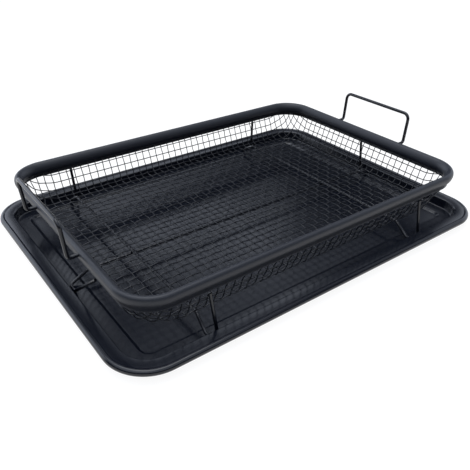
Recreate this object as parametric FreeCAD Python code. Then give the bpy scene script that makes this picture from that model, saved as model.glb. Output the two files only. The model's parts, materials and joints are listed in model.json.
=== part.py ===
import FreeCAD, Part
import math
import os

# Basket set for crisping in an oven: a woven wire basket on legs, and the drip tray that it stands in
# Millimetres, Z up, X along the long side, origin under the middle of the tray

# Basket rim, a strip rolled over the edge of the mesh
rim_length = 288.7
rim_width = 202.8
rim_corner_radius = 22.8
rim_height = 9.6
rim_thickness = 6.2
rim_sheet = 0.7
rim_drop = 26.3
flange_reach = 1.65
inner_flange_reach = 0.15
lip_flare = 0.9
slot_play = 0.1

# Mesh basket
mesh_pitch = 6.35
mesh_sheet = 1.2
mesh_lean_deg = 20.5
mesh_offset = 1.0
mesh_floor_height = 11.65
mesh_floor_corner = 26.0
mesh_floor_bend = 4.0
bend_steps = 2
mesh_tuck = 2.0
cells_per_gap = 3
bar_width = 2.6
ridge_width = 1.0
ridge_height = 0.4

# Frame wires that carry the basket, each bent from one length
frame_wire_diameter = 2.3
frame_bend_radius = 2.6
foot_splay_x = 3.15
foot_splay_y = 3.8
turn_inset = 2.6
seat_play = 0.1
cross_left = {"floor": -99.5, "foot_in": -101.5, "foot_out": -94.5, "rim": -97.0}
cross_right = {"floor": 86.8, "foot_in": 84.0, "foot_out": 96.0, "rim": 94.2}
long_left_end = {"floor": -7.4, "foot_in": -9.5, "foot_out": -17.5, "rim": -52.0}
long_right_end = {"floor": -7.4, "foot_in": -7.0, "foot_out": 1.5, "rim": 2.5}

# Handles, one at each short side
handle_wire_diameter = 2.7
handle_width = 72.0
handle_rise = 27.3
handle_lean_deg = 12.3
handle_bend_radius = 2.4
handle_gap = 0.9

# Drip tray, pressed from sheet steel, with a ledge just wide enough for the basket's feet
foot_margin = 1.9
tray_corner_radius = 29.7
tray_sheet = 0.8
tray_bead_diameter = 4.6
tray_bead_height = 7.5
flange_width = 11.0
flange_height = 7.2
flange_rise = 0.5
tray_wall_run = 1.3
ledge_width = 10.2
ledge_height = 1.4

# Levels and reaches worked out from the sizes above
rim_half_x = rim_length / 2
rim_half_y = rim_width / 2
foot_reach_x = rim_half_x + foot_splay_x
foot_reach_y = rim_half_y + foot_splay_y
tray_corner_x = foot_reach_x + foot_margin + tray_wall_run + flange_width - tray_corner_radius
tray_corner_y = foot_reach_y + foot_margin + tray_wall_run + flange_width - tray_corner_radius
bead_radius = tray_bead_diameter / 2
bead_reach = tray_corner_radius - bead_radius
flange_inner_reach = tray_corner_radius - flange_width
wall_foot_reach = flange_inner_reach - tray_wall_run
ledge_inner_reach = wall_foot_reach - ledge_width
ledge_top = ledge_height + tray_sheet

mesh_lean = math.radians(mesh_lean_deg)
mesh_floor_z = ledge_top + mesh_floor_height
rim_z = mesh_floor_z + rim_drop
rim_corner_x = rim_half_x - rim_corner_radius
rim_corner_y = rim_half_y - rim_corner_radius
rim_half_high = rim_height / 2
rim_half_thick = rim_thickness / 2
rim_out = math.hypot(rim_half_thick * math.cos(mesh_lean), rim_half_high * math.sin(mesh_lean))
rim_down = math.hypot(rim_half_high * math.cos(mesh_lean), rim_half_thick * math.sin(mesh_lean))
slot_half = mesh_sheet / 2 + slot_play
flange_end = rim_half_high + flange_reach
inner_flange_end = rim_half_high + inner_flange_reach

frame_wire_radius = frame_wire_diameter / 2
foot_z = ledge_top + frame_wire_radius + seat_play
cross_wire_z = mesh_floor_z - mesh_sheet / 2 - ridge_height - frame_wire_radius - seat_play
long_wire_z = cross_wire_z - frame_wire_diameter - seat_play

handle_wire_radius = handle_wire_diameter / 2
handle_lean = math.radians(handle_lean_deg)

# Round sections and bends are drawn with flats, so that the whole set stays light
wire_bend_steps = 3
wire_sides = 8
bead_sides = 12
rim_sides = 16

half = 0.5
quarter_turn = 90.0
quarter_circle = math.pi / 2
up = FreeCAD.Vector(0, 0, 1)


def vector(x, y, z):
    return FreeCAD.Vector(x, y, z)


def round_points(centre, axis, radius, sides):
    """Corners of a regular section round an axis, ending where it starts."""
    upright = axis.cross(up).Length < abs(axis.z)
    spoke = axis.cross(vector(1, 0, 0) if upright else up).normalize() * radius
    turn = 4 * quarter_turn / sides
    turned = [FreeCAD.Rotation(axis, turn * index).multVec(spoke) for index in range(sides)]
    return [centre + point for point in turned + turned[:1]]


def frame_ring(section, corner_x, corner_y):
    """Carry a section in the XZ plane, measured from the corner's centre, round a rounded rectangle."""
    quarter = []
    corner = section.copy()
    corner.translate(vector(corner_x, corner_y, 0))
    quarter.append(corner.revolve(vector(corner_x, corner_y, 0), up, quarter_turn))
    end_side = section.copy()
    end_side.translate(vector(corner_x, 0, 0))
    quarter.append(end_side.extrude(vector(0, corner_y, 0)))
    long_side = section.copy()
    long_side.rotate(vector(0, 0, 0), up, quarter_turn)
    long_side.translate(vector(0, corner_y, 0))
    quarter.append(long_side.extrude(vector(corner_x, 0, 0)))
    right_half = quarter + [piece.mirror(vector(0, 0, 0), vector(0, 1, 0)) for piece in quarter]
    whole = right_half + [piece.mirror(vector(0, 0, 0), vector(1, 0, 0)) for piece in right_half]
    return whole[0].multiFuse(whole[1:]).removeSplitter()


def rounded_rectangle(half_x, half_y, radius, z):
    """Closed wire of four straight sides and four arcs."""
    corner_x = half_x - radius
    corner_y = half_y - radius
    edges = []
    for index in range(4):
        sign_x = (1, -1, -1, 1)[index]
        sign_y = (1, 1, -1, -1)[index]
        centre = vector(sign_x * corner_x, sign_y * corner_y, z)
        start = index * quarter_turn
        edges.append(Part.makeCircle(radius, centre, up, start, start + quarter_turn))
        here = edges[-1].Vertexes[-1].Point
        turned = index % 2 == 0
        step = vector(-2 * sign_x * corner_x, 0, 0) if turned else vector(0, -2 * sign_y * corner_y, 0)
        edges.append(Part.makeLine(here, here + step))
    return Part.Wire(edges)


def bent_line(points, bend_radius):
    """Points of a line with short straight steps round each bend."""
    line = [points[0]]
    for before, corner, after in zip(points, points[1:], points[2:]):
        back = (before - corner).normalize()
        ahead = (after - corner).normalize()
        half_angle = back.getAngle(ahead) * half
        centre = corner + (back + ahead).normalize() * (bend_radius / math.sin(half_angle))
        start = corner + back * (bend_radius / math.tan(half_angle))
        turn = math.degrees(math.pi - 2 * half_angle)
        axis = (start - centre).cross(corner - centre)
        for step in range(wire_bend_steps + 1):
            turned = FreeCAD.Rotation(axis, turn * step / wire_bend_steps).multVec(start - centre)
            line.append(centre + turned)
    return line + points[-1:]


def bent_wire(points, bend_radius, wire_radius):
    """Wire with mitred steps along straight runs and round the bends between them."""
    line = bent_line(points, bend_radius)
    heading = line[1] - line[0]
    profile = Part.makePolygon(round_points(line[0], heading, wire_radius, wire_sides))
    return Part.makePolygon(line).makePipeShell([profile], True, False, 1)


def tray_section():
    """Half section of the tray's sheet: floor, step, ledge, wall and flange, from the corner's centre."""
    flange_outer_z = flange_height + flange_rise
    step_reach = ledge_inner_reach
    floor_reach = step_reach - ledge_height
    lower = [
        (0, 0),
        (floor_reach, 0),
        (step_reach, ledge_height),
        (wall_foot_reach, ledge_height),
        (flange_inner_reach, flange_height),
        (bead_reach, flange_outer_z),
    ]
    miter = tray_sheet * math.tan(quarter_circle * half * half)
    wall_miter = tray_sheet * half
    upper = [
        (bead_reach, flange_outer_z + tray_sheet),
        (flange_inner_reach - wall_miter, flange_height + tray_sheet),
        (wall_foot_reach - wall_miter, ledge_top),
        (step_reach - miter, ledge_top),
        (floor_reach - miter, tray_sheet),
        (0, tray_sheet),
    ]
    outline = [vector(reach, 0, z) for reach, z in lower + upper]
    return Part.Face(Part.makePolygon(outline + outline[:1]))


def drip_tray():
    """Pressed tray with a ledge for the basket's feet and a rolled bead round the flange."""
    centre = vector(bead_reach, 0, tray_bead_height)
    rolled = Part.makePolygon(round_points(centre, vector(0, 1, 0), bead_radius, bead_sides))
    bead = frame_ring(Part.Face(rolled), tray_corner_x, tray_corner_y)
    pressed = frame_ring(tray_section(), tray_corner_x, tray_corner_y)
    size = vector(2 * tray_corner_x, 2 * tray_corner_y, tray_sheet)
    floor = Part.makeBox(size.x, size.y, size.z, vector(-tray_corner_x, -tray_corner_y, 0))
    return pressed.multiFuse([bead, floor]).removeSplitter()


def rim_point(outward, upward):
    """Point of the rim's section, with its axes turned to the lean of the mesh wall."""
    reach = outward * math.cos(mesh_lean) + upward * math.sin(mesh_lean)
    height = upward * math.cos(mesh_lean) - outward * math.sin(mesh_lean)
    return vector(rim_corner_radius + reach, 0, rim_z + height)


def rim_section():
    """Flattened roll with both edges of its strip coming down as flanges, one on each side of the mesh."""
    inside_face = mesh_offset - slot_half
    outside_face = mesh_offset + slot_half
    inside_back = inside_face - rim_sheet
    outside_back = outside_face + rim_sheet
    flare_start = flange_end - lip_flare
    slot_end = flange_end - mesh_tuck - rim_sheet
    outline = [
        rim_point(inside_back, -inner_flange_end),
        rim_point(inside_face, -inner_flange_end),
        rim_point(inside_face, -slot_end),
        rim_point(outside_face, -slot_end),
        rim_point(outside_face, -flare_start),
        rim_point(outside_face + lip_flare, -flange_end),
        rim_point(outside_back + lip_flare, -flange_end + rim_sheet * half),
        rim_point(outside_back, -flare_start + rim_sheet * half),
    ]
    first = -math.acos(outside_back / rim_half_thick)
    last = 2 * math.pi - math.acos(inside_back / rim_half_thick)
    for index in range(rim_sides + 1):
        angle = first + (last - first) * index / rim_sides
        outline.append(rim_point(rim_half_thick * math.cos(angle), rim_half_high * math.sin(angle)))
    return Part.Face(Part.makePolygon(outline + outline[:1]))


def basket_rim():
    """Rolled rim with its clamping flanges and flared lip."""
    return frame_ring(rim_section(), rim_corner_x, rim_corner_y)


def wall_reach(z):
    """How far the middle of the mesh wall stands out from the rim's centre line at a height."""
    return (z - rim_z) * math.tan(mesh_lean) + mesh_offset / math.cos(mesh_lean)


def mesh_top_z():
    return rim_z - (flange_end - mesh_tuck) * math.cos(mesh_lean)


def tapered_block(wires):
    """Solid through stacked rounded rectangles, with flat sides and ruled corners."""
    faces = [Part.Face(wires[0]), Part.Face(wires[-1])]
    for low, high in zip(wires, wires[1:]):
        for lower, upper in zip(low.Edges, high.Edges):
            if isinstance(lower.Curve, Part.Line):
                ends = [vertex.Point for vertex in lower.Vertexes + upper.Vertexes[::-1]]
                faces.append(Part.Face(Part.makePolygon(ends + ends[:1])))
            else:
                faces.append(Part.makeRuledSurface(lower, upper))
    return Part.makeSolid(Part.makeShell(faces))


def pan(offset):
    """Solid filling of the basket, its faces moved outward from the middle of the mesh by an offset."""
    outward = offset / math.cos(mesh_lean)
    floor_z = mesh_floor_z - offset
    floor_reach = wall_reach(floor_z) + outward
    bend_radius = mesh_floor_bend + offset
    turn = quarter_circle - mesh_lean
    bend_start = floor_reach - bend_radius * math.tan(turn * half)
    wires = []
    for step in range(bend_steps + 1):
        angle = turn * step / bend_steps
        reach = bend_start + bend_radius * math.sin(angle)
        radius = mesh_floor_corner + outward + reach - floor_reach
        z = floor_z + bend_radius * (1 - math.cos(angle))
        wires.append(rounded_rectangle(rim_half_x + reach, rim_half_y + reach, radius, z))
    collar_z = rim_z - (flange_end + lip_flare) * math.cos(mesh_lean)
    for z in (collar_z, mesh_top_z()):
        reach = wall_reach(z) + outward
        wires.append(rounded_rectangle(rim_half_x + reach, rim_half_y + reach, rim_corner_radius + reach, z))
    return tapered_block(wires)


def gap_pattern(rim_half):
    """Middles of a row of gaps, counted in whole cells of the mesh, with one gap at the centre."""
    spacing = cells_per_gap * mesh_pitch
    flat_half = rim_half + wall_reach(mesh_floor_z) - mesh_floor_bend
    beside = math.floor(flat_half / spacing - half)
    return [spacing * index for index in range(-beside, beside + 1)]


def line_pattern(rim_half):
    """Places of the wire lines on the bars between and beside the gaps."""
    spacing = cells_per_gap * mesh_pitch
    middles = gap_pattern(rim_half)
    return [middles[0] - spacing * half] + [middle + spacing * half for middle in middles]


def gap_cutters():
    """Boxes that open the floor, the four walls and the corners of the mesh."""
    gap = cells_per_gap * mesh_pitch - bar_width
    corner_x = rim_half_x + wall_reach(mesh_floor_z) - mesh_floor_corner
    corner_y = rim_half_y + wall_reach(mesh_floor_z) - mesh_floor_corner
    flat_radius = mesh_floor_corner - mesh_floor_bend
    cutters = []
    for x in gap_pattern(rim_half_x):
        for y in gap_pattern(rim_half_y):
            past_x = max(abs(x) + gap * half - corner_x, 0)
            past_y = max(abs(y) + gap * half - corner_y, 0)
            if math.hypot(past_x, past_y) < flat_radius:
                place = vector(x - gap * half, y - gap * half, mesh_floor_z - gap * half)
                cutters.append(Part.makeBox(gap, gap, gap, place))
    wall_low = mesh_floor_z + mesh_floor_bend
    wall_high = rim_z - flange_end - bar_width
    height = wall_high - wall_low
    for x in gap_pattern(rim_half_x):
        place = vector(x - gap * half, -rim_width, wall_low)
        cutters.append(Part.makeBox(gap, 2 * rim_width, height, place))
    for y in gap_pattern(rim_half_y):
        place = vector(-rim_length, y - gap * half, wall_low)
        cutters.append(Part.makeBox(2 * rim_length, gap, height, place))
    return cutters + corner_cutters(wall_low, height, gap)


def corner_cutters(low, height, gap):
    """One box through each corner, as wide as the arc that the rows leave."""
    centre_x = gap_pattern(rim_half_x)[-1] + gap * half
    centre_y = gap_pattern(rim_half_y)[-1] + gap * half
    width = gap - 2 * bar_width
    cutters = []
    for index in range(4):
        box = Part.makeBox(rim_corner_radius * 2, width, height, vector(0, -width * half, low))
        sign_x = (1, -1, -1, 1)[index]
        sign_y = (1, 1, -1, -1)[index]
        angle = (index + half) * quarter_turn
        box.rotate(vector(0, 0, 0), up, angle)
        inset = rim_corner_radius * half
        box.translate(vector(sign_x * (centre_x - inset), sign_y * (centre_y - inset), 0))
        cutters.append(box)
    return cutters


def line_slabs(places, across):
    """Thin upright slabs, one at each wire line, that pick the ridges out of a skin."""
    slabs = []
    for place in places:
        if across:
            corner = vector(place - ridge_width * half, -rim_width, 0)
            slabs.append(Part.makeBox(ridge_width, 2 * rim_width, rim_z, corner))
        else:
            corner = vector(-rim_length, place - ridge_width * half, 0)
            slabs.append(Part.makeBox(2 * rim_length, ridge_width, rim_z, corner))
    return Part.makeCompound(slabs)


def ridges(inner, outer, places, across):
    """Wire lines that stand out from one side of the mesh and stop below the rim's lip."""
    skin = outer.cut(inner)
    limit = rim_z - (flange_end + lip_flare + seat_play) * math.cos(mesh_lean) - rim_sheet
    below = Part.makeBox(2 * rim_length, 2 * rim_width, limit, vector(-rim_length, -rim_width, 0))
    return skin.common(below).common(line_slabs(places, across)).Solids


def mesh_basket():
    """Pressed mesh: a thin pan with ridges along the wire lines and open gaps between them."""
    skin = mesh_sheet * half
    outer = pan(skin)
    inner = pan(-skin)
    proud = pan(skin + ridge_height)
    sunk = pan(-skin - ridge_height)
    sheet = outer.cut(inner)
    sheet = sheet.cut(Part.makeCompound(gap_cutters()))
    under = ridges(outer, proud, line_pattern(rim_half_x), True)
    over = ridges(sunk, inner, line_pattern(rim_half_y), False)
    return sheet.multiFuse(under + over).removeSplitter()


def leg_points(side, reach, end, floor_z):
    """Rim, foot and floor points of one leg, as distance along the wire, place beside it and height."""
    lip_z = rim_z - (flange_end + rim_sheet) * math.cos(mesh_lean) - (
        mesh_offset + slot_half + lip_flare + rim_sheet) * math.sin(mesh_lean) - seat_play
    clear = (mesh_sheet * half + ridge_height + frame_wire_radius + seat_play) / math.cos(mesh_lean)
    rim_reach = reach["rim"] + wall_reach(lip_z) + clear
    turn = reach["rim"] + wall_reach(mesh_floor_z) - turn_inset
    return [
        (side * rim_reach, end["rim"], lip_z),
        (side * reach["foot"], end["foot_out"], foot_z),
        (side * reach["foot"], end["foot_in"], foot_z),
        (side * turn, end["floor"], floor_z),
    ]


def frame_wire(reach, minus_end, plus_end, floor_z):
    """One bent wire: rim, foot, across under the mesh floor, foot and rim again."""
    points = leg_points(-1, reach, minus_end, floor_z) + leg_points(1, reach, plus_end, floor_z)[::-1]
    return [vector(*point) for point in points]


def cross_wire(end):
    """Wire across the basket, with a leg at each long side."""
    reach = {"rim": rim_half_y, "foot": foot_reach_y}
    points = [vector(p.y, p.x, p.z) for p in frame_wire(reach, end, end, cross_wire_z)]
    return bent_wire(points, frame_bend_radius, frame_wire_radius)


def long_wire():
    """Wire along the basket, with a leg at each short side."""
    reach = {"rim": rim_half_x, "foot": foot_reach_x}
    points = frame_wire(reach, long_left_end, long_right_end, long_wire_z)
    return bent_wire(points, frame_bend_radius, frame_wire_radius)


def handle(side):
    """Upright handle that hooks under the rim and leans outward."""
    hook_z = rim_z - rim_down - handle_wire_radius - seat_play
    clear = (rim_out + handle_wire_radius + handle_gap) / math.cos(handle_lean)
    drop = rim_z - hook_z
    hook_reach = rim_half_x + clear - drop * math.tan(handle_lean)
    top_reach = hook_reach + (handle_rise + drop) * math.tan(handle_lean)
    lip = mesh_offset + slot_half + rim_sheet + lip_flare
    end_reach = rim_half_x + lip * math.cos(mesh_lean) - flange_end * math.sin(mesh_lean) + 2 * seat_play
    half_width = handle_width * half
    hook = [
        vector(side * end_reach, -half_width, hook_z),
        vector(side * hook_reach, -half_width, hook_z),
    ]
    top = vector(side * top_reach, -half_width, rim_z + handle_rise)
    mirrored = [vector(p.x, -p.y, p.z) for p in [top] + hook[::-1]]
    return bent_wire(hook + [top] + mirrored, handle_bend_radius, handle_wire_radius)


nodes = {
    "drip_tray": drip_tray,
    "basket_rim": basket_rim,
    "mesh_basket": mesh_basket,
    "cross_wire_left": lambda: cross_wire(cross_left),
    "cross_wire_right": lambda: cross_wire(cross_right),
    "long_wire": long_wire,
    "handle_left": lambda: handle(-1),
    "handle_right": lambda: handle(1),
}

os.makedirs("parts", exist_ok=True)
for name, make in nodes.items():
    shape = make()
    shape.exportStep("parts/" + name + ".step")
    print(name, "solids", len(shape.Solids), "volume", round(shape.Volume, 1))
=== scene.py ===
import json
import math
import bpy
from mathutils import Matrix, Vector


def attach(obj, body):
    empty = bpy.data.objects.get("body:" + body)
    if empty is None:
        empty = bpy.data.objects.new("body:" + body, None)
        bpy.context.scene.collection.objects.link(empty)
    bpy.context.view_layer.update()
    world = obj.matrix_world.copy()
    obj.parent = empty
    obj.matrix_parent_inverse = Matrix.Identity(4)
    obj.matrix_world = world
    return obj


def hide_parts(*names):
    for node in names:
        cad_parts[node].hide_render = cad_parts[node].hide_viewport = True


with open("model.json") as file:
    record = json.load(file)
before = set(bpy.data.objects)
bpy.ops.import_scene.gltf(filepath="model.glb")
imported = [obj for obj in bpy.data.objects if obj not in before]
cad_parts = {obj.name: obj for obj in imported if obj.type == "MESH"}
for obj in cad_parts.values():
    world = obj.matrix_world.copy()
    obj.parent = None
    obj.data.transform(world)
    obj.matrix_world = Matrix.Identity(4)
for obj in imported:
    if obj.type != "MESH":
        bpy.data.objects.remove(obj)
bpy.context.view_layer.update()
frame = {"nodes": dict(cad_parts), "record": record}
mm = 0.001
nearly = 0.01  # millimetres


# small helpers, used the way the tools are used by hand
def clearSelection():
    if bpy.context.object and bpy.context.object.mode != "OBJECT":
        bpy.ops.object.mode_set(mode="OBJECT")
    bpy.ops.object.select_all(action="DESELECT")


def pickOnly(piece):
    clearSelection()
    bpy.context.view_layer.objects.active = piece
    piece.select_set(True)


def nameIt(name):
    piece = bpy.context.object
    piece.name = name
    piece.data.name = name
    return piece


def applyPlace(piece):
    pickOnly(piece)
    bpy.ops.object.transform_apply(location=True, rotation=True, scale=True)


def addModifier(piece, kind, **values):
    pickOnly(piece)
    bpy.ops.object.modifier_add(type=kind)
    modifier = piece.modifiers[-1]
    for key, value in values.items():
        setattr(modifier, key, value)
    bpy.ops.object.modifier_apply(modifier=modifier.name)


def smoothEdges(piece, degrees):
    pickOnly(piece)
    bpy.ops.object.shade_smooth_by_angle(angle=math.radians(degrees))


# in object mode, so that edit mode opens with just these picked
def selectVerts(piece, test):
    for vert in piece.data.vertices:
        vert.select = test(vert.co)
    for edge in piece.data.edges:
        edge.select = all(piece.data.vertices[i].select for i in edge.vertices)
    for face in piece.data.polygons:
        face.select = False


# normals of an open sheet point either way, and the given face must look up
def lookUp(piece, face):
    if face.normal.z < 0:
        pickOnly(piece)
        bpy.ops.object.mode_set(mode="EDIT")
        bpy.ops.mesh.select_all(action="SELECT")
        bpy.ops.mesh.flip_normals()
        bpy.ops.object.mode_set(mode="OBJECT")


def finishPiece(piece, nodeName):
    pickOnly(piece)
    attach(piece, "root")
    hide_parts(nodeName)
    return piece


# a row of points with an arc at each bend, as a sheet is pressed or a wire is bent
def bentLine(points, radii, steps):
    line = [Vector(points[0])]
    for index in range(1, len(points) - 1):
        corner = Vector(points[index])
        back = (Vector(points[index - 1]) - corner).normalized()
        ahead = (Vector(points[index + 1]) - corner).normalized()
        halfAngle = back.angle(ahead) / 2
        radius = radii[index - 1]
        setback = radius / math.tan(halfAngle)
        centre = corner + (back + ahead).normalized() * radius / math.sin(halfAngle)
        start = corner + back * setback
        axis = (start - centre).cross(corner - centre).normalized()
        turn = math.pi - 2 * halfAngle
        for step in range(steps + 1):
            spin = Matrix.Rotation(turn * step / steps, 3, axis)
            line.append(centre + spin @ (start - centre))
    line.append(Vector(points[-1]))
    return line


# draws the section by extruding one point after the other, in the XZ plane at the corner's centre
def drawSection(name, section, cornerX, cornerY):
    clearSelection()
    bpy.ops.mesh.primitive_plane_add(size=mm, location=(0, 0, 0))
    piece = nameIt(name)
    bpy.ops.object.mode_set(mode="EDIT")
    bpy.ops.mesh.merge(type="CENTER")
    first = Vector((cornerX, cornerY, 0)) + section[0]
    bpy.ops.transform.translate(value=first)
    for here, there in zip(section, section[1:]):
        bpy.ops.mesh.extrude_region_move(TRANSFORM_OT_translate={"value": there - here})
    bpy.ops.mesh.select_all(action="SELECT")
    return piece


# sweeps the drawn section round a rounded rectangle: spin a corner, extrude a side, four times
def sweepRound(piece, cornerX, cornerY, cornerSteps):
    corners = [(1, 1), (-1, 1), (-1, -1), (1, -1)]
    sides = [(-2 * cornerX, 0), (0, -2 * cornerY), (2 * cornerX, 0), (0, 2 * cornerY)]
    for (signX, signY), (runX, runY) in zip(corners, sides):
        bpy.ops.mesh.spin(
            steps=cornerSteps, angle=-math.pi / 2, dupli=False,
            center=(signX * cornerX, signY * cornerY, 0), axis=(0, 0, 1))
        bpy.ops.mesh.extrude_region_move(TRANSFORM_OT_translate={"value": (runX, runY, 0)})
    bpy.ops.mesh.select_all(action="SELECT")
    bpy.ops.mesh.remove_doubles(threshold=0.00001)
    bpy.ops.mesh.normals_make_consistent(inside=False)
    bpy.ops.object.mode_set(mode="OBJECT")


def addMath(nodes, links, operation, first, second):
    step = nodes.new("ShaderNodeMath")
    step.operation = operation
    for socket, value in zip(step.inputs, (first, second)):
        if isinstance(value, (int, float)):
            socket.default_value = value
        else:
            links.new(value, socket)
    return step.outputs["Value"]


def addFade(nodes, links, value, start, end, low, high):
    fade = nodes.new("ShaderNodeMapRange")
    fade.interpolation_type = "SMOOTHSTEP"
    links.new(value, fade.inputs["Value"])
    for key, number in (("From Min", start), ("From Max", end), ("To Min", low), ("To Max", high)):
        fade.inputs[key].default_value = number
    return fade.outputs["Result"]


# the coating's fine grain and faint uneven gloss, shared by every coated piece
def buildCoatGroup():
    group = bpy.data.node_groups.new("coatingGrain", "ShaderNodeTree")
    face = group.interface
    for name, value in (("Grain Size", 900.0), ("Grain Depth", 0.3), ("Patch Size", 18.0),
                        ("Gloss Change", 0.06), ("Roughness", 0.3), ("Tone Change", 0.15)):
        socket = face.new_socket(name=name, in_out="INPUT", socket_type="NodeSocketFloat")
        socket.default_value = value
    tone = face.new_socket(name="Tone", in_out="INPUT", socket_type="NodeSocketColor")
    tone.default_value = (0.006, 0.008, 0.014, 1)
    face.new_socket(name="Color", in_out="OUTPUT", socket_type="NodeSocketColor")
    face.new_socket(name="Roughness", in_out="OUTPUT", socket_type="NodeSocketFloat")
    face.new_socket(name="Height", in_out="OUTPUT", socket_type="NodeSocketFloat")
    nodes, links = group.nodes, group.links
    inside = nodes.new("NodeGroupInput")
    outside = nodes.new("NodeGroupOutput")
    place = nodes.new("ShaderNodeTexCoord")
    grain = nodes.new("ShaderNodeTexNoise")
    grain.inputs["Detail"].default_value = 2.0
    patch = nodes.new("ShaderNodeTexNoise")
    patch.inputs["Detail"].default_value = 3.0
    links.new(place.outputs["Object"], grain.inputs["Vector"])
    links.new(place.outputs["Object"], patch.inputs["Vector"])
    links.new(inside.outputs["Grain Size"], grain.inputs["Scale"])
    links.new(inside.outputs["Patch Size"], patch.inputs["Scale"])
    centred = addMath(nodes, links, "SUBTRACT", patch.outputs["Fac"], 0.5)
    glossShift = addMath(nodes, links, "MULTIPLY", centred, inside.outputs["Gloss Change"])
    gloss = addMath(nodes, links, "ADD", glossShift, inside.outputs["Roughness"])
    links.new(gloss, outside.inputs["Roughness"])
    height = addMath(nodes, links, "MULTIPLY", grain.outputs["Fac"], inside.outputs["Grain Depth"])
    links.new(height, outside.inputs["Height"])
    toneShift = addMath(nodes, links, "MULTIPLY", centred, inside.outputs["Tone Change"])
    shift = addMath(nodes, links, "ADD", toneShift, 1.0)
    tint = nodes.new("ShaderNodeVectorMath")
    tint.operation = "SCALE"
    links.new(inside.outputs["Tone"], tint.inputs[0])
    links.new(shift, tint.inputs["Scale"])
    links.new(tint.outputs[0], outside.inputs["Color"])
    return group


coatGroup = buildCoatGroup()
enamelIor, bumpStrength, bumpDepth = 1.5, 0.15, 0.1 * mm
coats = {
    "trayCoat": {"Tone": (0.0018, 0.0030, 0.0070, 1), "Roughness": 0.18, "Gloss Change": 0.03,
                 "Grain Size": 700.0, "Grain Depth": 0.25, "Patch Size": 14.0, "Tone Change": 0.3},
    "rimCoat": {"Tone": (0.0070, 0.0090, 0.0150, 1), "Roughness": 0.45, "Gloss Change": 0.06,
                "Grain Size": 900.0, "Grain Depth": 0.25, "Patch Size": 30.0, "Tone Change": 0.3},
    "meshCoat": {"Tone": (0.0022, 0.0032, 0.0065, 1), "Roughness": 0.30, "Gloss Change": 0.08,
                 "Grain Size": 1500.0, "Grain Depth": 0.2, "Patch Size": 40.0, "Tone Change": 0.4},
    "wireCoat": {"Tone": (0.0020, 0.0028, 0.0060, 1), "Roughness": 0.22, "Gloss Change": 0.06,
                 "Grain Size": 1200.0, "Grain Depth": 0.2, "Patch Size": 40.0, "Tone Change": 0.3},
}


def buildCoat(name, values):
    material = bpy.data.materials.new(name)
    material.use_nodes = True
    nodes, links = material.node_tree.nodes, material.node_tree.links
    shader = nodes["Principled BSDF"]
    shader.inputs["Metallic"].default_value = 0.0
    shader.inputs["IOR"].default_value = enamelIor
    grain = nodes.new("ShaderNodeGroup")
    grain.node_tree = coatGroup
    for key, value in values.items():
        grain.inputs[key].default_value = value
    bump = nodes.new("ShaderNodeBump")
    bump.inputs["Strength"].default_value = bumpStrength
    bump.inputs["Distance"].default_value = bumpDepth
    links.new(grain.outputs["Color"], shader.inputs["Base Color"])
    links.new(grain.outputs["Roughness"], shader.inputs["Roughness"])
    links.new(grain.outputs["Height"], bump.inputs["Height"])
    links.new(bump.outputs["Normal"], shader.inputs["Normal"])
    return material


materials = {name: buildCoat(name, values) for name, values in coats.items()}


def paint(piece, name):
    piece.data.materials.clear()
    piece.data.materials.append(materials[name])


slotCoats = {"tray_coating": "trayCoat", "rim_coating": "rimCoat",
             "mesh_coating": "meshCoat", "wire_coating": "wireCoat"}
for part in frame["record"]["subparts"]:
    paint(frame["nodes"][part["node"]], slotCoats[part["material_slot"]])
print("coatings ready")


# drip tray, in millimetres: heights are the sheet's upper side, reaches run out from the corner's centre
tray = {
    "halfX": 161.7, "halfY": 119.4, "corner": 29.7, "sheet": 0.8,
    "beadRadius": 2.3, "beadZ": 7.5, "flangeIn": 18.9, "flangeZ": 9.38,
    "wallFoot": 17.4, "ledgeZ": 2.2, "ledgeIn": 8.0, "floorIn": 5.7, "floorZ": 0.8,
    "bend": 1.0, "tightBend": 0.6, "bendSteps": 4, "rollStart": 125, "rollEnd": -150, "rollSteps": 16,
    "cornerSteps": 20, "floorLip": 2.0, "smoothBelow": 22,
}


def makeTray(v):
    beadReach = v["corner"] - v["beadRadius"]

    def onBead(degrees):
        turn = math.radians(degrees)
        return Vector((beadReach + v["beadRadius"] * math.cos(turn), 0,
                       v["beadZ"] + v["beadRadius"] * math.sin(turn)))

    corners = [
        (v["floorIn"] - v["floorLip"], 0, v["floorZ"]),
        (v["floorIn"], 0, v["floorZ"]),
        (v["ledgeIn"], 0, v["ledgeZ"]),
        (v["wallFoot"], 0, v["ledgeZ"]),
        (v["flangeIn"], 0, v["flangeZ"]),
        onBead(v["rollStart"]),
    ]
    radii = [v["tightBend"], v["tightBend"], v["bend"], v["bend"]]
    section = bentLine(corners, radii, v["bendSteps"])
    for step in range(1, v["rollSteps"] + 1):
        section.append(onBead(v["rollStart"] + (v["rollEnd"] - v["rollStart"]) * step / v["rollSteps"]))
    section = [point * mm for point in section]
    cornerX = (v["halfX"] - v["corner"]) * mm
    cornerY = (v["halfY"] - v["corner"]) * mm
    piece = drawSection("trayPressing", section, cornerX, cornerY)
    sweepRound(piece, cornerX, cornerY, v["cornerSteps"])
    floorReach = (v["floorIn"] - v["floorLip"] + nearly) * mm
    selectVerts(piece, lambda co: abs(co.z - v["floorZ"] * mm) < nearly * mm and
                abs(co.x) < cornerX + floorReach and abs(co.y) < cornerY + floorReach)
    bpy.ops.object.mode_set(mode="EDIT")
    bpy.ops.mesh.edge_face_add()
    bpy.ops.mesh.select_all(action="SELECT")
    bpy.ops.mesh.normals_make_consistent(inside=False)
    bpy.ops.object.mode_set(mode="OBJECT")
    lookUp(piece, max(piece.data.polygons, key=lambda face: face.area))
    applyPlace(piece)
    addModifier(piece, "SOLIDIFY", thickness=v["sheet"] * mm, offset=-1, use_even_offset=True)
    smoothEdges(piece, v["smoothBelow"])
    paint(piece, "trayCoat")
    return finishPiece(piece, "drip_tray")


makeTray(tray)
print("tray pressed")

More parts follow.
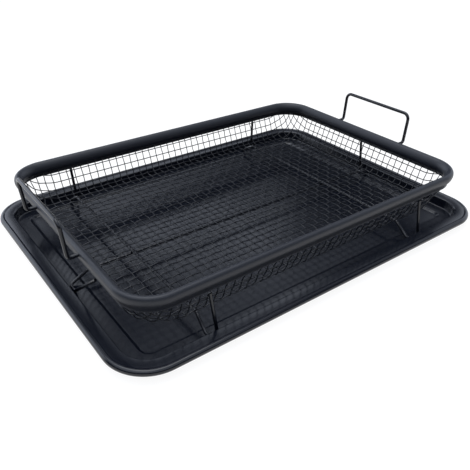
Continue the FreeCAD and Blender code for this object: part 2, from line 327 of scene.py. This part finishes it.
# mesh wall and rim share one lean; lengths in millimetres
basket = {
    "halfX": 144.35, "halfY": 101.4, "corner": 22.8, "rimZ": 40.15, "floorZ": 13.85,
    "lean": math.radians(20.5), "offset": 1.0, "floorCorner": 26.0, "floorBend": 4.0, "collarZ": 33.3,
    "topZ": 35.7,
}
rim = {
    "halfHigh": 4.8, "halfThick": 3.1, "strip": 0.7, "slotHalf": 0.7, "flangeEnd": 6.45,
    "innerEnd": 4.95, "flare": 0.35, "flareCurve": [(0.0, 1.0), (0.6, 0.3), (1.0, 0.1)],
    "tubeSteps": 26, "cornerSteps": 24, "smoothBelow": 40,
}


def wallReach(z):
    b = basket
    return (z - b["rimZ"]) * math.tan(b["lean"]) + b["offset"] / math.cos(b["lean"])


def makeRim(v, b):
    def place(outward, upward):
        reach = outward * math.cos(b["lean"]) + upward * math.sin(b["lean"])
        height = upward * math.cos(b["lean"]) - outward * math.sin(b["lean"])
        return Vector((b["corner"] + reach, 0, b["rimZ"] + height)) * mm

    inside = b["offset"] - v["slotHalf"] - v["strip"]
    outside = b["offset"] + v["slotHalf"] + v["strip"]
    section = [place(inside, -v["innerEnd"])]
    first = 2 * math.pi - math.acos(inside / v["halfThick"])
    last = -math.acos(outside / v["halfThick"])
    for step in range(v["tubeSteps"] + 1):
        angle = first + (last - first) * step / v["tubeSteps"]
        section.append(place(v["halfThick"] * math.cos(angle), v["halfHigh"] * math.sin(angle)))
    for out, up in v["flareCurve"]:
        section.append(place(outside + v["flare"] * out, -v["flangeEnd"] + v["flare"] * up))
    cornerX = (b["halfX"] - b["corner"]) * mm
    cornerY = (b["halfY"] - b["corner"]) * mm
    piece = drawSection("rimRoll", section, cornerX, cornerY)
    sweepRound(piece, cornerX, cornerY, v["cornerSteps"])
    applyPlace(piece)
    lookUp(piece, max(piece.data.polygons, key=lambda face: face.center.z))
    addModifier(piece, "SOLIDIFY", thickness=v["strip"] * mm, offset=-1, use_even_offset=True)
    smoothEdges(piece, v["smoothBelow"])
    paint(piece, "rimCoat")
    return finishPiece(piece, "basket_rim")


makeRim(rim, basket)
print("rim rolled")

# woven mesh, pressed into the pan: cell and wire in millimetres
weave = {
    "cell": 6.35, "wire": 0.75, "crimp": 0.33, "linesX": 27, "linesY": 21,
    "stepsPerCell": 4, "bevelSteps": 1,
}


# outline of the pan at a distance out from the start of the floor's bend
def panLevel(out):
    b = basket
    turn = math.pi / 2 - b["lean"]
    bendStart = wallReach(b["floorZ"]) - b["floorBend"] * math.tan(turn / 2)
    bendOut = b["floorBend"] * math.sin(turn)
    bendZ = b["floorZ"] + b["floorBend"] * (1 - math.cos(turn))
    cornerStart = b["floorCorner"] - b["floorBend"] * math.tan(turn / 2)
    collarOut = wallReach(b["collarZ"]) - bendStart
    collarCorner = b["corner"] + wallReach(b["collarZ"])
    if out <= bendOut:
        z = b["floorZ"] + b["floorBend"] - math.sqrt(b["floorBend"] ** 2 - max(out, 0) ** 2)
        corner = cornerStart + out
    else:
        z = bendZ + (out - bendOut) / math.tan(b["lean"])
        share = (out - bendOut) / (collarOut - bendOut)
        corner = cornerStart + bendOut + (collarCorner - cornerStart - bendOut) * share
        if out > collarOut:
            corner = collarCorner + out - collarOut
    return b["halfX"] + bendStart + out, b["halfY"] + bendStart + out, corner, z


def outsideBy(x, y, out):
    halfX, halfY, corner, z = panLevel(out)
    overX = abs(x) - halfX + corner
    overY = abs(y) - halfY + corner
    if overX > 0 and overY > 0:
        return math.hypot(overX, overY) - corner, z
    return max(overX, overY) - corner, z


def panHeight(x, y):
    distance, z = outsideBy(x, y, 0.0)
    if distance <= 0:
        return z
    low, high = 0.0, 30.0  # past the rim, then halved until they meet
    for step in range(40):
        middle = (low + high) / 2
        distance, z = outsideBy(x, y, middle)
        if distance > 0:
            low = middle
        else:
            high = middle
    return z


def onPan(x, y):
    return Vector((x, y, panHeight(x, y)))


# next crossing at one cell from both neighbours: woven wires keep their length and only shear
def nextCrossing(a, b, start, cell):
    x, y = start.x, start.y
    tiny = 1e-4
    for attempt in range(40):
        here = onPan(x, y)
        errorA = (here - a).length - cell
        errorB = (here - b).length - cell
        if abs(errorA) + abs(errorB) < 1e-7:
            break
        alongX = onPan(x + tiny, y)
        alongY = onPan(x, y + tiny)
        aX = ((alongX - a).length - cell - errorA) / tiny
        aY = ((alongY - a).length - cell - errorA) / tiny
        bX = ((alongX - b).length - cell - errorB) / tiny
        bY = ((alongY - b).length - cell - errorB) / tiny
        spread = aX * bY - aY * bX
        if abs(spread) < 1e-9:
            break
        stepX = (errorA * bY - errorB * aY) / spread
        stepY = (errorB * aX - errorA * bX) / spread
        most = max(abs(stepX), abs(stepY), 1.0)
        x -= stepX / most
        y -= stepY / most
    return onPan(x, y)


def marchLine(start, direction, count, cell):
    line = [start]
    for index in range(count):
        low, high = 0.0, cell
        for step in range(50):
            middle = (low + high) / 2
            point = line[-1] + direction * middle
            if (onPan(point.x, point.y) - line[-1]).length < cell:
                low = middle
            else:
                high = middle
        point = line[-1] + direction * low
        line.append(onPan(point.x, point.y))
    return line


def weaveNet(v, topZ):
    cell = v["cell"]
    start = onPan(0.0, cell / 2)
    net = {}
    for i, point in enumerate(marchLine(start, Vector((1, 0, 0)), v["linesX"], cell)):
        net[i, 0] = point
    for j, point in enumerate(marchLine(start, Vector((0, 1, 0)), v["linesY"], cell)):
        net[0, j] = point
    for i in range(1, v["linesX"]):
        for j in range(1, v["linesY"]):
            a, b, corner = net.get((i - 1, j)), net.get((i, j - 1)), net.get((i - 1, j - 1))
            if a is None or b is None or corner is None or (a.z > topZ and b.z > topZ):
                continue
            net[i, j] = nextCrossing(a, b, a + b - corner, cell)
    return net


net = weaveNet(weave, basket["topZ"])
print("net laid out, crossings in a quarter:", len(net))


# crossing at whole-number lines: one quarter gives all four
def crossing(i, j):
    found = net.get((abs(i), j if j >= 0 else -j - 1))
    if found is None:
        return None
    return Vector((found.x if i >= 0 else -found.x, found.y if j >= 0 else -found.y, found.z))


def outwardAt(point):
    tiny = 0.05
    signX = 1 if point.x >= 0 else -1
    signY = 1 if point.y >= 0 else -1
    x, y = abs(point.x), abs(point.y)
    here = panHeight(x, y)
    slopeX = (panHeight(x + tiny, y) - here) / tiny
    slopeY = (panHeight(x, y + tiny) - here) / tiny
    return Vector((slopeX * signX, slopeY * signY, -1)).normalized()


# one set of wires: the grid keeps the edges of one direction, and each line becomes a round wire
def makeWires(name, v, b, alongX):
    clearSelection()
    lastX, lastY = v["linesX"] - 1, v["linesY"] - 1
    countX, countY = 2 * lastX, 2 * lastY + 1
    bpy.ops.mesh.primitive_grid_add(x_subdivisions=countX, y_subdivisions=countY, size=2)
    piece = nameIt(name)
    bpy.ops.object.mode_set(mode="EDIT")
    bpy.ops.mesh.select_all(action="SELECT")
    bpy.ops.mesh.delete(type="ONLY_FACE")
    bpy.ops.mesh.select_all(action="DESELECT")
    bpy.ops.mesh.select_mode(type="EDGE")
    bpy.ops.object.mode_set(mode="OBJECT")
    verts = piece.data.vertices
    for edge in piece.data.edges:
        run = verts[edge.vertices[0]].co - verts[edge.vertices[1]].co
        edge.select = (abs(run.y) > abs(run.x)) == alongX
    bpy.ops.object.mode_set(mode="EDIT")
    bpy.ops.mesh.delete(type="EDGE")
    bpy.ops.mesh.select_mode(type="VERT")
    bpy.ops.mesh.select_all(action="DESELECT")
    bpy.ops.object.mode_set(mode="OBJECT")
    for vert in piece.data.vertices:
        i = round((vert.co.x + 1) / 2 * countX) - lastX
        j = round((vert.co.y + 1) / 2 * countY) - lastY - 1
        place = wirePlace(i, j, v, b, alongX)
        vert.select = place is None
        if place is not None:
            vert.co = place * mm
    bpy.ops.object.mode_set(mode="EDIT")
    bpy.ops.mesh.delete(type="VERT")
    bpy.ops.object.mode_set(mode="OBJECT")
    bpy.ops.object.convert(target="CURVE")
    bpy.ops.object.mode_set(mode="EDIT")
    bpy.ops.curve.select_all(action="SELECT")
    bpy.ops.curve.spline_type_set(type="BEZIER")
    bpy.ops.curve.handle_type_set(type="AUTOMATIC")
    bpy.ops.object.mode_set(mode="OBJECT")
    piece.data.resolution_u = v["stepsPerCell"]
    piece.data.bevel_depth = v["wire"] / 2 * mm
    piece.data.bevel_resolution = v["bevelSteps"]
    piece.data.use_fill_caps = True
    bpy.ops.object.convert(target="MESH")
    bpy.ops.object.shade_smooth()
    paint(piece, "meshCoat")
    return finishPiece(piece, "mesh_basket")


# the wires of one set pass over and under the other set in turn, and end inside the rim
def wirePlace(i, j, v, b, alongX):
    point = crossing(i, j)
    if point is None:
        return None
    lift = v["crimp"] if ((i + j) % 2 == 0) == alongX else -v["crimp"]
    if point.z > b["topZ"]:
        if alongX:
            before = crossing(i - 1 if i > 0 else i + 1, j) if i != 0 else None
        else:
            before = crossing(i, j - 1 if j > 0 else j + 1) if j not in (0, -1) else None
        if before is None or before.z > b["topZ"]:
            return None
        share = (b["topZ"] - before.z) / (point.z - before.z)
        point = before.lerp(point, share)
        lift *= 2 * share - 1
    return point + outwardAt(point) * lift


lengthWires = makeWires("meshWiresAlong", weave, basket, True)
crossWires = makeWires("meshWiresAcross", weave, basket, False)
print("mesh woven:", len(lengthWires.data.polygons), len(crossWires.data.polygons), "faces")


wireSmoothBelow = 50


# bent wire: a circle is extruded along each run and spun round each bend
def bendWire(name, points, bendRadii, wireRadius, sides, bendSteps):
    points = [Vector(point) * mm for point in points]
    heading = (points[1] - points[0]).normalized()
    clearSelection()
    bpy.ops.mesh.primitive_circle_add(
        vertices=sides, radius=wireRadius * mm, fill_type="NGON", location=points[0],
        rotation=heading.to_track_quat("Z", "Y").to_euler())
    piece = nameIt(name)
    applyPlace(piece)
    bpy.ops.object.mode_set(mode="EDIT")
    bpy.ops.mesh.select_all(action="SELECT")
    here = points[0]
    for before, corner, after, bendRadius in zip(points, points[1:], points[2:], bendRadii):
        radius = bendRadius * mm
        back = (before - corner).normalized()
        ahead = (after - corner).normalized()
        halfAngle = back.angle(ahead) / 2
        setback = radius / math.tan(halfAngle)
        start = corner + back * setback
        bpy.ops.mesh.extrude_region_move(TRANSFORM_OT_translate={"value": start - here})
        centre = corner + (back + ahead).normalized() * radius / math.sin(halfAngle)
        axis = (start - centre).cross(corner - centre).normalized()
        bpy.ops.mesh.spin(
            steps=bendSteps, angle=2 * halfAngle - math.pi, dupli=False, center=centre, axis=axis)
        here = corner + ahead * setback
    bpy.ops.mesh.extrude_region_move(TRANSFORM_OT_translate={"value": points[-1] - here})
    bpy.ops.mesh.select_all(action="SELECT")
    bpy.ops.mesh.remove_doubles(threshold=0.000001)
    bpy.ops.mesh.normals_make_consistent(inside=False)
    bpy.ops.object.mode_set(mode="OBJECT")
    smoothEdges(piece, wireSmoothBelow)
    return piece


# frame wires, in millimetres: each end goes from the rim down to its foot and up under the mesh floor
frameWires = {
    "radius": 1.15, "bend": 2.6, "sides": 12, "bendSteps": 5, "footZ": 3.45,
    "turnIn": 2.6, "lipDown": 7.15, "lipOut": 3.3, "lipGap": 0.1, "clearOfMesh": 2.25,
    "footX": 147.5, "footY": 105.2,
    "acrossZ": 11.6, "alongZ": 9.2,
    "left": {"floor": -99.5, "footIn": -101.5, "footOut": -94.5, "rim": -97.0},
    "right": {"floor": 86.8, "footIn": 84.0, "footOut": 96.0, "rim": 94.2},
    "longLeft": {"floor": -7.4, "footIn": -9.5, "footOut": -17.5, "rim": -52.0},
    "longRight": {"floor": -7.4, "footIn": -7.0, "footOut": 1.5, "rim": 2.5},
}


def legPoints(v, b, side, rimHalf, footReach, end, floorZ):
    lipZ = (b["rimZ"] - v["lipDown"] * math.cos(b["lean"]) - v["lipOut"] * math.sin(b["lean"])
            - v["lipGap"])
    rimReach = rimHalf + wallReach(lipZ) + v["clearOfMesh"] / math.cos(b["lean"])
    turn = rimHalf + wallReach(b["floorZ"]) - v["turnIn"]
    return [
        (side * rimReach, end["rim"], lipZ),
        (side * footReach, end["footOut"], v["footZ"]),
        (side * footReach, end["footIn"], v["footZ"]),
        (side * turn, end["floor"], floorZ),
    ]


def makeFrameWire(v, b, name, nodeName, lowEnd, highEnd, across):
    rimHalf = b["halfY"] if across else b["halfX"]
    foot = v["footY"] if across else v["footX"]
    floorZ = v["acrossZ"] if across else v["alongZ"]
    points = legPoints(v, b, -1, rimHalf, foot, v[lowEnd], floorZ)
    points += legPoints(v, b, 1, rimHalf, foot, v[highEnd], floorZ)[::-1]
    if across:
        points = [(y, x, z) for x, y, z in points]
    bends = [v["bend"]] * (len(points) - 2)
    piece = bendWire(name, points, bends, v["radius"], v["sides"], v["bendSteps"])
    paint(piece, "wireCoat")
    return finishPiece(piece, nodeName)


makeFrameWire(frameWires, basket, "frameWireLeft", "cross_wire_left", "left", "left", True)
makeFrameWire(frameWires, basket, "frameWireRight", "cross_wire_right", "right", "right", True)
makeFrameWire(frameWires, basket, "frameWireAlong", "long_wire", "longLeft", "longRight", False)
print("frame wires bent")

# handles, in millimetres: an upright loop that leans out, bent in at its feet to the rim's outer side
handles = {
    "radius": 1.35, "footBend": 2.6, "topBend": 5.0, "sides": 16, "bendSteps": 8, "halfWidth": 35.8,
    "topReach": 156.0, "topZ": 67.4, "footReach": 154.2, "footZ": 42.3, "rimReach": 146.9,
}


def makeHandle(v, side, name, nodeName):
    half = v["halfWidth"]
    points = [
        (side * v["rimReach"], -half, v["footZ"]), (side * v["footReach"], -half, v["footZ"]),
        (side * v["topReach"], -half, v["topZ"]), (side * v["topReach"], half, v["topZ"]),
        (side * v["footReach"], half, v["footZ"]), (side * v["rimReach"], half, v["footZ"]),
    ]
    bends = [v["footBend"], v["topBend"], v["topBend"], v["footBend"]]
    piece = bendWire(name, points, bends, v["radius"], v["sides"], v["bendSteps"])
    paint(piece, "wireCoat")
    return finishPiece(piece, nodeName)


makeHandle(handles, -1, "handleLoopLeft", "handle_left")
makeHandle(handles, 1, "handleLoopRight", "handle_right")
print("handles bent")

# floor, lamp, world and camera
stage = {
    "floorSize": 6.0, "floorTone": 0.9, "floorGlow": 0.91, "shadowTone": 0.15,
    "lampPower": 8.0, "lampPlace": (0.0, 0.2, 1.6), "lampSize": 1.2,
    "tint": (0.92, 0.99, 1.13, 1), "dark": 0.03,
    "far": (0.602, 0.799, 0.0), "right": (0.799, -0.602, 0.0), "up": (0.0, 0.0, 1.0),
}
# what shines on the object: each panel fades in between two dot products of the heading with a side,
# and "below" fades it out again upwards
panels = [
    {"level": 1.80, "right": (-0.335, -0.365), "far": (-0.10, 0.15), "up": (0.65, 0.55)},
    {"level": 1.15, "right": (0.335, 0.365), "far": (-0.10, 0.15), "up": (0.65, 0.55)},
    {"level": 0.56, "right": (-0.25, 0.00), "far": (0.00, 0.30), "up": (0.49, 0.57)},
    {"level": 1.00, "far": (0.00, -0.30), "up": (0.42, 0.50)},
    {"level": 1.50, "right": (0.45, 0.05), "up": (0.69, 0.75)},
    {"level": 1.10, "up": (0.74, 0.90)},
    {"level": 0.90, "right": (-0.40, -0.62), "up": (0.56, 0.68)},
    {"level": 1.40, "right": (0.14, 0.06), "across": (0.31, 0.24), "far": (0.00, 0.30), "up": (0.46, 0.49),
     "below": (0.61, 0.56)},
]
camera = {
    "place": (-0.23623, -0.30977, 0.22864), "yaw": 37.020, "pitch": 32.123, "roll": 0.741,
    "focal": 548.168, "frame": 470, "sensor": 36.0,
}


# seen directly or in a mirror the floor is white with a soft shadow, and it lights as a pale matt table
def buildFloor(v):
    clearSelection()
    bpy.ops.mesh.primitive_plane_add(size=v["floorSize"], location=(0, 0, 0))
    floor = nameIt("paleFloor")
    material = bpy.data.materials.new("paleFloor")
    material.use_nodes = True
    nodes, links = material.node_tree.nodes, material.node_tree.links
    nodes.clear()
    output = nodes.new("ShaderNodeOutputMaterial")
    matt = nodes.new("ShaderNodeBsdfDiffuse")
    matt.inputs["Color"].default_value = (v["floorTone"],) * 3 + (1,)
    shaded = nodes.new("ShaderNodeBsdfDiffuse")
    shaded.inputs["Color"].default_value = (v["shadowTone"],) * 3 + (1,)
    glow = nodes.new("ShaderNodeEmission")
    glow.inputs["Strength"].default_value = v["floorGlow"]
    white = nodes.new("ShaderNodeAddShader")
    choose = nodes.new("ShaderNodeMixShader")
    path = nodes.new("ShaderNodeLightPath")
    seen = addMath(nodes, links, "MAXIMUM", path.outputs["Is Camera Ray"], path.outputs["Is Glossy Ray"])
    links.new(glow.outputs[0], white.inputs[0])
    links.new(shaded.outputs[0], white.inputs[1])
    links.new(seen, choose.inputs["Fac"])
    links.new(matt.outputs[0], choose.inputs[1])
    links.new(white.outputs[0], choose.inputs[2])
    links.new(choose.outputs[0], output.inputs["Surface"])
    floor.data.materials.append(material)
    return floor


def buildLamp(v):
    light = bpy.data.lights.new("lampAbove", "AREA")
    light.shape = "SQUARE"
    light.size = v["lampSize"]
    light.energy = v["lampPower"]
    lamp = bpy.data.objects.new("lampAbove", light)
    bpy.context.scene.collection.objects.link(lamp)
    lamp.location = v["lampPlace"]
    lamp.rotation_euler = (-Vector(v["lampPlace"])).to_track_quat("-Z", "Y").to_euler()
    return lamp


# white where the camera looks, and elsewhere a dark room with the panels
def buildWorld(v, panels):
    world = bpy.data.worlds.new("studio")
    bpy.context.scene.world = world
    world.use_nodes = True
    nodes, links = world.node_tree.nodes, world.node_tree.links
    background = nodes["Background"]
    heading = nodes.new("ShaderNodeTexCoord").outputs["Generated"]
    sides = {}
    for name in ("far", "right", "up"):
        dot = nodes.new("ShaderNodeVectorMath")
        dot.operation = "DOT_PRODUCT"
        dot.inputs[1].default_value = v[name]
        links.new(heading, dot.inputs[0])
        sides[name] = dot.outputs["Value"]
    sides["across"] = addMath(nodes, links, "ABSOLUTE", sides["right"], 0.0)
    sides["below"] = sides["up"]
    level = v["dark"]
    for panel in panels:
        share = panel["level"]
        for name in sides:
            if name in panel:
                fade = addFade(nodes, links, sides[name], *panel[name], 0.0, 1.0)
                share = addMath(nodes, links, "MULTIPLY", share, fade)
        level = addMath(nodes, links, "MAXIMUM", level, share)
    path = nodes.new("ShaderNodeLightPath").outputs["Is Camera Ray"]
    shade = nodes.new("ShaderNodeMix")
    shade.data_type = "RGBA"
    links.new(path, shade.inputs["Factor"])
    shade.inputs[6].default_value = v["tint"]
    shade.inputs[7].default_value = (1, 1, 1, 1)
    links.new(shade.outputs[2], background.inputs["Color"])
    links.new(addMath(nodes, links, "MAXIMUM", path, level), background.inputs["Strength"])


def buildCamera(v):
    yaw, pitch, roll = (math.radians(v[key]) for key in ("yaw", "pitch", "roll"))
    look = Vector((math.sin(yaw) * math.cos(pitch), math.cos(yaw) * math.cos(pitch), -math.sin(pitch)))
    right = Vector((math.cos(yaw), -math.sin(yaw), 0))
    upward = right.cross(look)
    turnedRight = right * math.cos(roll) + upward * math.sin(roll)
    turnedUp = upward * math.cos(roll) - right * math.sin(roll)
    lens = bpy.data.cameras.new("photoCamera")
    lens.sensor_width = v["sensor"]
    lens.lens = v["focal"] / v["frame"] * v["sensor"]
    lens.clip_start = 0.01
    eye = bpy.data.objects.new("photoCamera", lens)
    bpy.context.scene.collection.objects.link(eye)
    turned = Matrix((turnedRight, turnedUp, -look)).transposed().to_4x4()
    eye.matrix_world = Matrix.Translation(Vector(v["place"])) @ turned
    bpy.context.scene.camera = eye


floor = buildFloor(stage)
lamp = buildLamp(stage)
buildWorld(stage, panels)
buildCamera(camera)
bpy.context.scene.view_settings.view_transform = "Standard"
print("stage set")
